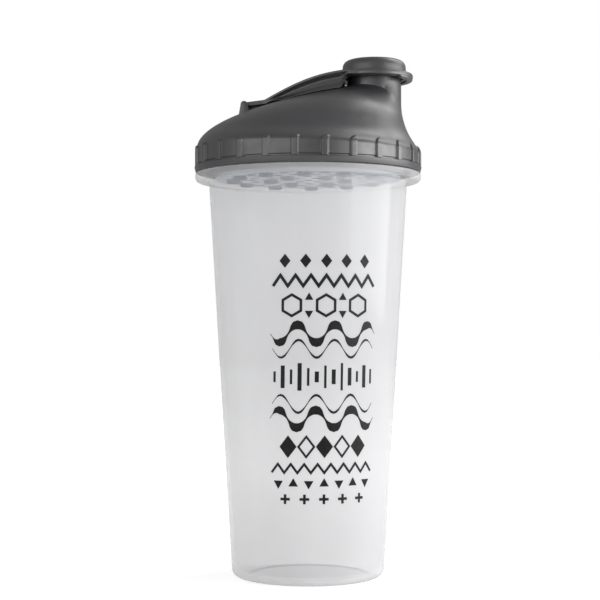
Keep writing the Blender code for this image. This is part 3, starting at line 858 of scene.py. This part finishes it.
def arm_half_width(x):
    """Half of the arm's width, from the hinge barrel out to the flange."""
    start = HINGE.x + ARM_ROOT_LENGTH
    along = max(0.0, (x - start) / (SPOUT_OFFSET - start))
    widest = FLANGE_RADIUS * ARM_END_SHARE
    return widest - (widest - ARM_ROOT_HALF_WIDTH) * (1.0 - along) ** ARM_SPREAD_POWER


def dome_heights():
    """Function that gives the height of the dome's outer face at a place on the plan."""
    points = []
    for step in range(DOME_FANS + 1):
        angle = math.pi * step / DOME_FANS
        points += [dome_point(outer_meridian, angle, t / DOME_STEPS) for t in range(DOME_STEPS + 1)]
    tree = KDTree(len(points))
    for i, point in enumerate(points):
        tree.insert((point.x, point.y, 0.0), i)
    tree.balance()
    return lambda x, y: points[tree.find((x, y, 0.0))[1]].z


def arm_wall_depth(top, down, side, height_at):
    """How far the arm's wall hangs below its plate at one side: nearly to the dome, less at the ends."""
    depth = 0.0
    while depth < ARM_WALL_DEPTH:
        foot = top + down * (ARM_THICKNESS + depth)
        if foot.y - height_at(foot.x, side) < ARM_WALL_GAP:
            break
        depth += ARM_WALL_STEP
    run_in = smooth((top.x - HINGE.x - ARM_ROOT_LENGTH) / ARM_WALL_RUN_IN)
    run_out = smooth((SPOUT_OFFSET - ARM_WALL_STOP - top.x) / ARM_WALL_RUN_OUT)
    return max(ARM_WALL_LEAST, depth * run_in * run_out)


def arm_section(wide, depth_at):
    """Cross-section of the arm's channel as (sideways, depth) points, its feet following the dome."""
    hang = depth_at(wide)
    waist = wide - ARM_UNDERCUT * min(1.0, hang / 2.0)
    inner = waist - ARM_WALL - ARM_WALL_DRAFT
    foot = ARM_THICKNESS + hang
    foot_inner = ARM_THICKNESS + min(hang, depth_at(waist - ARM_WALL))
    wall = foot - ARM_LIP_HEIGHT
    corners = [(wide * part, 0.0, 0.0) for part in (0.0, 0.3, 0.6, 0.85)]
    corners += [
        (wide, 0.0, 0.45),
        (wide, ARM_LIP_HEIGHT, 0.3),
        (waist, ARM_LIP_HEIGHT + 0.25 * wall, 0.8),
        (waist + 0.35 * (wide - waist), ARM_LIP_HEIGHT + 0.65 * wall, 1.5),
        (wide, foot - 0.15, 0.2),
        (waist - ARM_WALL, foot_inner, 0.2),
        (inner, ARM_THICKNESS, 0.2),
    ]
    corners += [(inner * part, ARM_THICKNESS, 0.0) for part in (0.66, 0.33, 0.0)]
    half = rounded(corners, longest=100.0)
    return half + [Vector((-y, depth)) for y, depth in reversed(half[1:-1])]


def make_arm():
    """Paddle-shaped channel lofted along its top line, with rounded edges."""
    line = arm_top_line()
    height_at = dome_heights()
    rows = []
    for i, top in enumerate(line):
        along = line[min(i + 1, len(line) - 1)] - line[max(i - 1, 0)]
        along.normalize()
        down = Vector((along.y, -along.x))
        wall_depth = partial(arm_wall_depth, top, down, height_at=height_at)
        row = []
        for y, depth in arm_section(arm_half_width(top.x), wall_depth):
            place = top + down * depth
            row.append((place.x, y, place.y))
        rows.append(row)
    return skin("flip_cap", rows, ends=True)


def make_cap_shell():
    """Hollow cap with its flange and the plug that closes the bore."""
    ceiling = CAP_TOP - CAP_WALL
    plug = BORE_RADIUS - PLUG_GAP
    tip = SPOUT_TOP - PLUG_DEPTH
    outline = rounded([
        (0.0, CAP_TOP + CAP_CROWN, 0.0),
        (CAP_OUTER - CAP_DRAFT, CAP_TOP, CAP_CORNER),
        (CAP_OUTER, FLANGE_TOP, 0.4),
        (FLANGE_RADIUS, FLANGE_TOP, FLANGE_EDGE),
        (FLANGE_RADIUS, FLANGE_BOTTOM, 0.5),
        (CAP_INNER, FLANGE_BOTTOM, 0.4),
        (CAP_INNER - CAP_DRAFT, ceiling, GROOVE_CORNER),
        (plug, ceiling, 0.4),
        (plug, SPOUT_TOP, 0.8),
        (plug - PLUG_TAPER, tip, 0.4),
        (plug - PLUG_TAPER - PLUG_WALL, tip, 0.4),
        (plug - PLUG_TAPER - PLUG_WALL, ceiling, 0.6),
        (0.0, ceiling + CAP_CROWN, 0.0),
    ], longest=2.0)
    return turned("cap_shell", outline, axis_x=SPOUT_OFFSET)


def make_lip():
    """Thumb lip under the flange's front edge."""
    inner = FLANGE_RADIUS - LIP_WIDTH
    outer = FLANGE_RADIUS - FIT_GAP / 2
    low = FLANGE_BOTTOM - LIP_DROP
    high = FLANGE_BOTTOM + FLANGE_THICKNESS / 2
    section = rounded([
        (inner, high, 0.0),
        (inner, low, 0.5),
        (outer, low, 0.7),
        (outer, high, 0.0),
    ], longest=0.6)
    rows = []
    for part in evenly(LIP_STEPS + 1, 1.0):
        angle = math.radians(LIP_SPREAD * part)
        ease = smooth((1.0 - abs(part)) * LIP_EASE)
        full = LIP_END_PART + (1.0 - LIP_END_PART) * ease
        rows.append([on_circle(r, angle, high + (z - high) * full, SPOUT_OFFSET) for r, z in section])
    return skin("thumb_lip", rows, ends=True)


def make_cap():
    """Flip cap in one moulding: arm, hinge barrel with trunnions, cap, flange, plug and thumb lip."""
    arm = make_arm()
    core_radius = (CAP_INNER + CAP_OUTER) / 2
    core_outline = [(0.0, CAP_TOP), (core_radius, CAP_TOP), (core_radius, 0.0), (0.0, 0.0)]
    core = turned("core", core_outline, axis_x=SPOUT_OFFSET)
    arm = combined(arm, [core], "DIFFERENCE")
    barrel = rod("barrel", BARREL_RADIUS, 2 * ARM_ROOT_HALF_WIDTH - FIT_GAP, HINGE.x, HINGE.z, edge=0.3)
    reach = 2 * (ARM_ROOT_HALF_WIDTH + EAR_THICKNESS - EAR_SKIN)
    pins = rod("pins", PIN_RADIUS, reach, HINGE.x, HINGE.z, edge=0.15)
    cap = combined(arm, [make_cap_shell(), make_lip(), barrel, pins], "UNION")
    cap.name = "flip_cap"
    return cap


def wall_point(across, up, stand):
    """Point on the cup's wall, from a place on the flat drawing of the print."""
    height = PRINT_MIDDLE + up
    radius = BODY_BASE + CUP_FLARE * height
    angle = PRINT_ANGLE + across / radius
    return Vector(((radius + stand) * math.cos(angle), (radius + stand) * math.sin(angle), height))


def resampled(points, loop):
    """Points along a line on the drawing, no farther apart than the ink's step."""
    path = [Vector(point) for point in points]
    if loop:
        path.append(path[0])
    dense = []
    for start, end in zip(path, path[1:]):
        pieces = max(1, math.ceil((end - start).length / INK_STEP))
        dense += [start.lerp(end, step / pieces) for step in range(pieces)]
    return dense if loop else dense + [path[-1]]


def stroke(points, width, loop=False):
    """Inked line as a thin closed strip on the wall. width(share) gives its breadth along the line."""
    path = resampled(points, loop)
    count = len(path)
    rows = []
    for i, here in enumerate(path):
        before = path[i - 1] if i or loop else here
        after = path[(i + 1) % count] if i < count - 1 or loop else here
        back = (here - before).normalized() if i or loop else (after - here).normalized()
        ahead = (after - here).normalized() if i < count - 1 or loop else back
        along = (back + ahead).normalized()
        mitre = min(1.6, 1.0 / max(0.3, along.dot(ahead)))
        side = Vector((-along.y, along.x)) * width(i / (count - 1)) / 2 * mitre
        left, right = here + side, here - side
        rows.append([
            wall_point(left.x, left.y, INK_LOW),
            wall_point(left.x, left.y, INK_HIGH),
            wall_point(right.x, right.y, INK_HIGH),
            wall_point(right.x, right.y, INK_LOW),
        ])
    return skin("ink", rows, loop=loop, ends=not loop)


def patch(corners):
    """Inked solid shape as a thin closed plate on the wall, filled from its middle out."""
    edge = resampled(corners, True)
    middle = sum(edge, Vector((0.0, 0.0))) / len(edge)
    rows = [[wall_point(*middle, INK_HIGH)]]
    for part in PATCH_PARTS:
        rows.append([wall_point(*middle.lerp(point, part), INK_HIGH) for point in edge])
    for part in reversed(PATCH_PARTS):
        rows.append([wall_point(*middle.lerp(point, part), INK_LOW) for point in edge])
    rows.append([wall_point(*middle, INK_LOW)])
    return skin("ink", rows)


def polygon(x, y, reach, sides, turn=90.0, tall=1.0):
    """Corners of a regular shape, or of a stretched one."""
    corners = []
    for angle in around(sides):
        angle += math.radians(turn)
        corners.append((x + reach * math.cos(angle), y + tall * reach * math.sin(angle)))
    return corners


def wave(y, rise, half, lean=0.0):
    """Points of a wavy line across the drawing."""
    points = []
    for x in evenly(WAVE_STEPS * WAVE_LAPS + 1, half):
        points.append((x, y + rise * math.sin(math.pi * WAVE_LAPS * x / half + lean)))
    return points


def zigzag(y, rise, teeth, half):
    """Points of a zigzag line across the drawing."""
    return [(x, y + rise * (1 if i % 2 else -1)) for i, x in enumerate(evenly(2 * teeth + 1, half))]


def even_width(width):
    """Breadth of a line that stays the same."""
    return lambda share: width


def swelling(thin, thick):
    """Breadth of a wave that swells and thins like a brush stroke, tapering at both ends."""
    def width(share):
        swell = thin + (thick - thin) * math.sin(math.pi * 2 * WAVE_LAPS * share) ** 2
        return max(INK_THINNEST, swell * smooth(min(share, 1.0 - share) * INK_TAPER))
    return width


def plus_sign(x, y, reach, width):
    """Two crossing bars, as three strips that only meet at the middle."""
    bars = [stroke([(x - reach, y), (x + reach, y)], even_width(width))]
    for side in (-1.0, 1.0):
        bars.append(stroke([(x, y + side * width / 2), (x, y + side * reach)], even_width(width)))
    return bars


def solid_row(y, places, reach, sides, turns=(90.0,), tall=1.0):
    """Row of solid shapes, which take the given turns one after another."""
    ink = []
    for i, x in enumerate(places):
        ink.append(patch(polygon(x, y, reach, sides, turns[i % len(turns)], tall)))
    return ink


def outline_row(y, places, reach, sides, width, tall=1.0):
    """Row of shapes drawn as outlines."""
    shapes = [polygon(x, y, reach, sides, tall=tall) for x in places]
    return [stroke(shape, even_width(width), loop=True) for shape in shapes]


def bar_row(y, places):
    """Row of upright bars of several heights and two widths."""
    ink = []
    for i, x in enumerate(places):
        half = BAR_HALF_HEIGHTS[i % len(BAR_HALF_HEIGHTS)]
        ink.append(stroke([(x, y - half), (x, y + half)], even_width(BAR_WIDTHS[i % 2])))
    return ink


def joined(name, items):
    """One object from the meshes of several, which are removed."""
    maker = bmesh.new()
    for item in items:
        maker.from_mesh(item.data)
        bpy.data.objects.remove(item, do_unlink=True)
    mesh = bpy.data.meshes.new(name)
    maker.to_mesh(mesh)
    maker.free()
    return shaded(name, mesh)


def make_print():
    """The cup's decoration in rows from top to bottom, placed in millimetres from its middle."""
    bold, fine = swelling(thin=0.7, thick=3.6), swelling(thin=0.35, thick=1.0)
    ink = solid_row(y=48.0, places=evenly(5, 17.0), reach=2.3, sides=4, tall=1.25)
    ink.append(stroke(zigzag(y=40.0, rise=2.2, teeth=7, half=22.0), even_width(1.3)))
    ink += outline_row(y=30.0, places=evenly(3, 14.0), reach=4.3, sides=6, width=1.1)
    ink += solid_row(y=33.2, places=evenly(2, 7.0), reach=2.0, sides=3)
    ink += solid_row(y=26.8, places=evenly(2, 7.0), reach=2.0, sides=3, turns=(-90.0,))
    ink.append(stroke(wave(y=18.5, rise=3.6, half=23.0), bold))
    ink.append(stroke(wave(y=12.4, rise=3.6, half=22.0), fine))
    ink += bar_row(y=1.0, places=evenly(13, 21.0))
    ink.append(stroke(wave(y=-10.0, rise=3.6, half=22.0, lean=math.pi), fine))
    ink.append(stroke(wave(y=-16.1, rise=3.6, half=23.0, lean=math.pi), bold))
    ink += solid_row(y=-27.5, places=evenly(3, 15.0), reach=3.6, sides=4, tall=1.3)
    ink += outline_row(y=-27.5, places=evenly(2, 7.5), reach=3.2, sides=4, width=0.9, tall=1.3)
    ink.append(stroke(zigzag(y=-36.4, rise=1.8, teeth=8, half=22.0), even_width(1.0)))
    ink += solid_row(y=-42.6, places=evenly(7, 19.0), reach=2.3, sides=3, turns=(-90.0, 90.0))
    for x in evenly(5, 16.0):
        ink += plus_sign(x, y=-49.0, reach=2.0, width=1.1)
    return joined("wall_print", ink)


class Paint:
    """Small helper that builds one Principled material from procedural nodes."""

    def __init__(self, name):
        self.material = bpy.data.materials.new(name)
        self.material.use_nodes = True
        self.tree = self.material.node_tree
        self.shader = self.tree.nodes["Principled BSDF"]
        self.place = self.add("ShaderNodeTexCoord").outputs["Object"]

    def add(self, kind):
        return self.tree.nodes.new(kind)

    def link(self, source, target):
        self.tree.links.new(source, target)

    def value(self, socket, value):
        self.shader.inputs[socket].default_value = value

    def stretch(self, scale):
        node = self.add("ShaderNodeMapping")
        node.inputs["Scale"].default_value = scale
        self.link(self.place, node.inputs["Vector"])
        return node.outputs["Vector"]

    def noise(self, scale, detail=2.0, vector=None):
        node = self.add("ShaderNodeTexNoise")
        node.inputs["Scale"].default_value = scale
        node.inputs["Detail"].default_value = detail
        self.link(vector or self.place, node.inputs["Vector"])
        return node.outputs["Fac"]

    def ramp(self, source, low, high, start=0.3, end=0.7):
        node = self.add("ShaderNodeValToRGB")
        node.color_ramp.elements[0].position = start
        node.color_ramp.elements[0].color = (*low, 1.0)
        node.color_ramp.elements[1].position = end
        node.color_ramp.elements[1].color = (*high, 1.0)
        self.link(source, node.inputs["Fac"])
        return node.outputs["Color"]

    def span(self, source, low, high):
        node = self.add("ShaderNodeMapRange")
        node.inputs["From Min"].default_value = 0.3
        node.inputs["From Max"].default_value = 0.7
        node.inputs["To Min"].default_value = low
        node.inputs["To Max"].default_value = high
        self.link(source, node.inputs["Value"])
        return node.outputs["Result"]

    def bump(self, source, strength, distance, under=None):
        node = self.add("ShaderNodeBump")
        node.inputs["Strength"].default_value = strength
        node.inputs["Distance"].default_value = distance
        self.link(source, node.inputs["Height"])
        if under:
            self.link(under, node.inputs["Normal"])
        return node.outputs["Normal"]


def moulded_plastic(name, dark, light, rough, gloss=0.5):
    """Satin moulded plastic: faint flow mottling, uneven gloss and a fine grain."""
    paint = Paint(name)
    flow = paint.noise(1.0, 3.0, paint.stretch((60.0, 60.0, 140.0)))
    paint.link(paint.ramp(flow, dark, light), paint.shader.inputs["Base Color"])
    paint.link(paint.span(paint.noise(220.0, 2.0), *rough), paint.shader.inputs["Roughness"])
    peel = paint.bump(paint.noise(420.0, 1.0), 0.10, 0.0002)
    grain = paint.bump(paint.noise(3200.0, 2.0), 0.12, 0.00004, peel)
    paint.link(grain, paint.shader.inputs["Normal"])
    paint.value("Specular IOR Level", gloss)
    paint.value("IOR", 1.6)
    return paint.material


def frosted_plastic(name, haze):
    """Hazy natural polypropylene: sheer, milky, with faint draw lines and uneven gloss."""
    paint = Paint(name)
    flow = paint.noise(1.0, 2.0, paint.stretch((55.0, 55.0, 9.0)))
    tint = paint.ramp(flow, (0.79, 0.79, 0.805), (0.83, 0.83, 0.845))
    paint.link(tint, paint.shader.inputs["Base Color"])
    paint.link(paint.span(paint.noise(160.0, 2.0), 0.05, 0.09), paint.shader.inputs["Roughness"])
    draw = paint.bump(paint.noise(1.0, 1.0, paint.stretch((70.0, 70.0, 12.0))), 0.05, 0.0003)
    paint.link(draw, paint.shader.inputs["Normal"])
    paint.value("Alpha", haze)
    paint.value("IOR", 1.49)
    paint.value("Specular IOR Level", 0.3)
    return paint.material


def silicone():
    """Soft pale seal with a dusty sheen."""
    paint = Paint("seal_silicone")
    tint = paint.ramp(paint.noise(300.0), (0.66, 0.67, 0.68), (0.76, 0.77, 0.78))
    paint.link(tint, paint.shader.inputs["Base Color"])
    paint.link(paint.span(paint.noise(500.0), 0.5, 0.65), paint.shader.inputs["Roughness"])
    paint.link(paint.bump(paint.noise(2500.0), 0.1, 0.00005), paint.shader.inputs["Normal"])
    return paint.material


def printed_ink():
    """Dark screen ink with slightly uneven cover and sheen."""
    paint = Paint("print_ink")
    tint = paint.ramp(paint.noise(700.0, 3.0), (0.006, 0.006, 0.007), (0.014, 0.014, 0.015))
    paint.link(tint, paint.shader.inputs["Base Color"])
    paint.link(paint.span(paint.noise(900.0), 0.38, 0.52), paint.shader.inputs["Roughness"])
    paint.link(paint.bump(paint.noise(1800.0), 0.08, 0.00004), paint.shader.inputs["Normal"])
    paint.value("Specular IOR Level", 0.25)
    return paint.material


def dress(item, finishes, body, replaced=None):
    """Give a piece its finish, or several for its faces' material numbers, and hang it on its body."""
    for finish in finishes if isinstance(finishes, tuple) else (finishes,):
        item.data.materials.append(finish)
    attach(item, body)
    if replaced:
        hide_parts(replaced)


def make_camera():
    """Level camera at the photograph's angle."""
    data = bpy.data.cameras.new("camera")
    data.lens = LENS
    data.sensor_width = SENSOR
    data.shift_x = (FRAME_PIXELS / 2 - AXIS_PIXEL) / FRAME_PIXELS
    data.shift_y = (HORIZON_PIXEL - FRAME_PIXELS / 2) / FRAME_PIXELS
    data.clip_start = CLIP_START
    camera = bpy.data.objects.new("camera", data)
    turn = math.radians(CAMERA_TURN)
    reach = CAMERA_DISTANCE * MM
    camera.location = (reach * math.sin(turn), -reach * math.cos(turn), CAMERA_HEIGHT * MM)
    camera.rotation_euler = (math.pi / 2, 0.0, turn)
    bpy.context.scene.collection.objects.link(camera)
    bpy.context.scene.camera = camera


def softbox(name, azimuth, elevation, distance, size, power):
    """Area light that faces the bottle, placed by its direction from it. Azimuth 0 is the camera's side."""
    data = bpy.data.lights.new(name, "AREA")
    data.shape = "RECTANGLE"
    data.size, data.size_y = size
    data.energy = power
    item = bpy.data.objects.new(name, data)
    turn = math.radians(azimuth - 90.0 + CAMERA_TURN)
    lift = math.radians(elevation)
    away = Vector((math.cos(turn) * math.cos(lift), math.sin(turn) * math.cos(lift), math.sin(lift)))
    item.location = Vector((0.0, 0.0, LIGHT_AIM)) + away * distance
    item.rotation_euler = away.to_track_quat("Z", "Y").to_euler()
    item.visible_camera = False
    bpy.context.scene.collection.objects.link(item)


def make_world():
    """White surroundings that light the bottle at a plain, even level."""
    world = bpy.data.worlds.new("studio")
    bpy.context.scene.world = world
    world.use_nodes = True
    tree = world.node_tree
    shown = tree.nodes["Background"]
    shown.inputs["Color"].default_value = (1.0, 1.0, 1.0, 1.0)
    light = tree.nodes.new("ShaderNodeBackground")
    light.inputs["Color"].default_value = (1.0, 1.0, 1.0, 1.0)
    light.inputs["Strength"].default_value = AMBIENT
    path = tree.nodes.new("ShaderNodeLightPath")
    blend = tree.nodes.new("ShaderNodeMixShader")
    tree.links.new(path.outputs["Is Camera Ray"], blend.inputs["Fac"])
    tree.links.new(light.outputs[0], blend.inputs[1])
    tree.links.new(shown.outputs[0], blend.inputs[2])
    tree.links.new(blend.outputs[0], tree.nodes["World Output"].inputs["Surface"])


def camera_lift(tree):
    """Emission that only the camera sees, stronger away from the bottle."""
    place = tree.nodes.new("ShaderNodeTexCoord")
    away = tree.nodes.new("ShaderNodeVectorMath")
    away.operation = "LENGTH"
    tree.links.new(place.outputs["Object"], away.inputs[0])
    grow = tree.nodes.new("ShaderNodeMapRange")
    for socket, value in zip(("From Min", "From Max", "To Min", "To Max"), FLOOR_FADE + FLOOR_LIFT):
        grow.inputs[socket].default_value = value
    tree.links.new(away.outputs["Value"], grow.inputs["Value"])
    path = tree.nodes.new("ShaderNodeLightPath")
    amount = tree.nodes.new("ShaderNodeMath")
    amount.operation = "MULTIPLY"
    tree.links.new(path.outputs["Is Camera Ray"], amount.inputs[0])
    tree.links.new(grow.outputs["Result"], amount.inputs[1])
    lift = tree.nodes.new("ShaderNodeEmission")
    tree.links.new(amount.outputs[0], lift.inputs["Strength"])
    return lift


def pale_floor():
    """Matte pale grey that the camera sees as nearly white, with the shadows on it kept."""
    material = bpy.data.materials.new("pale_floor")
    material.use_nodes = True
    tree = material.node_tree
    matte = tree.nodes["Principled BSDF"]
    matte.inputs["Base Color"].default_value = (FLOOR_GREY, FLOOR_GREY, FLOOR_GREY, 1.0)
    matte.inputs["Roughness"].default_value = 0.9
    matte.inputs["Specular IOR Level"].default_value = 0.0
    total = tree.nodes.new("ShaderNodeAddShader")
    tree.links.new(matte.outputs[0], total.inputs[0])
    tree.links.new(camera_lift(tree).outputs[0], total.inputs[1])
    tree.links.new(total.outputs[0], tree.nodes["Material Output"].inputs["Surface"])
    return material


def make_floor():
    """Wide pale floor with the bottle's soft shadow on it."""
    edge = [on_circle(FLOOR_RADIUS, a, -FLOOR_DROP) for a in around(96)]
    floor = skin("floor", [[(0.0, 0.0, -FLOOR_DROP)], edge])
    floor.data.materials.append(pale_floor())


lid_finish = moulded_plastic("lid_plastic", (0.033, 0.034, 0.037), (0.040, 0.041, 0.044), (0.36, 0.44), 1.0)
cap_finish = moulded_plastic("cap_plastic", (0.032, 0.033, 0.036), (0.038, 0.039, 0.042), (0.36, 0.44), 1.0)
strainer_finish = moulded_plastic("strainer_plastic", (0.70, 0.76, 0.84), (0.76, 0.82, 0.90), (0.38, 0.48))
# The holes' bores and collars: a dark blue that paints the shade inside the holes, not a colour of the
# plastic.
painted_hole_shade_finish = moulded_plastic("strainer_painted_hole_shade", (0.06, 0.095, 0.17), (0.085, 0.12, 0.20), (0.45, 0.55), 0.2)
cup_finish = (frosted_plastic("cup_outside", 0.46), frosted_plastic("cup_inside", 0.12))

dress(make_cup(), cup_finish, "cup", "cup")
dress(make_print(), printed_ink(), "cup")
dress(make_lid_shell(), lid_finish, "lid", "lid")
dress(make_ears(), lid_finish, "lid")
dress(make_gasket(), silicone(), "lid_gasket", "lid_gasket")
dress(make_strainer(), (strainer_finish, painted_hole_shade_finish), "strainer", "strainer")
dress(make_cap(), cap_finish, "spout_cap", "spout_cap")

make_floor()
make_world()
make_camera()
for light in SOFTBOXES:
    softbox(*light)
bpy.context.scene.view_settings.view_transform = "Standard"
